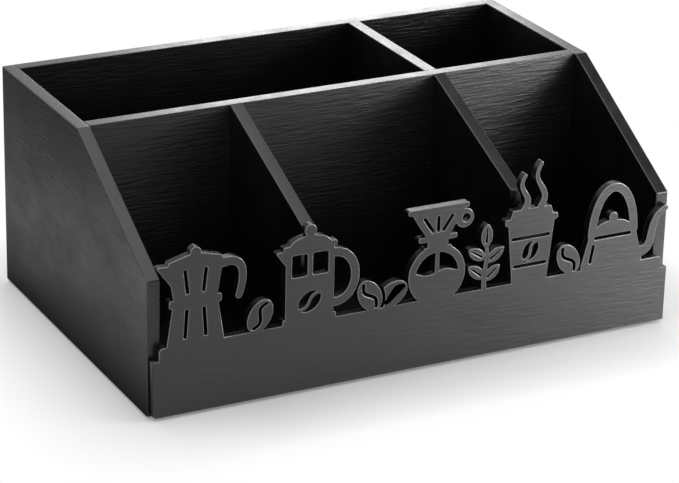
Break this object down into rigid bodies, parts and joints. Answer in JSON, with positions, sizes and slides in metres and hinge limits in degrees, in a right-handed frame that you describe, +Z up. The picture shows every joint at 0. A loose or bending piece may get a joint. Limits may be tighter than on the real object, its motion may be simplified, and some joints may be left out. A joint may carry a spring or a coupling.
{
  "type": "coffee station organizer",
  "caption": "Open-topped wooden countertop organizer with sloping sides, a tall rear row and a low front row of compartments, and a cut-out front board.",
  "frame": {"origin": "centre of the overall box in X and Y, on the plane that the pads stand on", "axes": "+X along the width, to the right seen from the front; -Y towards the front; +Z up"},
  "size_m": [0.4, 0.262, 0.1652],
  "materials": {
    "carcass_paint": "black satin paint over open grain",
    "front_board_paint": "black satin paint over open grain",
    "dowel_beech": "bare turned beech",
    "pad_rubber": "matte anti-slip"
  },
  "bodies": {
    "root": {"left_side_panel": "carcass_paint", "right_side_panel": "carcass_paint", "back_panel": "carcass_paint", "bottom_panel": "carcass_paint", "middle_wall": "carcass_paint", "rear_divider": "carcass_paint", "left_front_divider": "carcass_paint", "right_front_divider": "carcass_paint", "fretwork_front_board": "front_board_paint", "left_side_back_dowels": "dowel_beech", "left_side_bottom_dowels": "dowel_beech", "left_side_wall_dowels": "dowel_beech", "right_side_back_dowels": "dowel_beech", "right_side_bottom_dowels": "dowel_beech", "right_side_wall_dowels": "dowel_beech", "back_bottom_dowels": "dowel_beech", "wall_bottom_dowels": "dowel_beech", "rear_divider_back_dowels": "dowel_beech", "rear_divider_wall_dowels": "dowel_beech", "left_front_divider_dowels": "dowel_beech", "right_front_divider_dowels": "dowel_beech", "front_left_pad": "pad_rubber", "front_right_pad": "pad_rubber", "rear_left_pad": "pad_rubber", "rear_right_pad": "pad_rubber"}
  },
  "joints": []
}
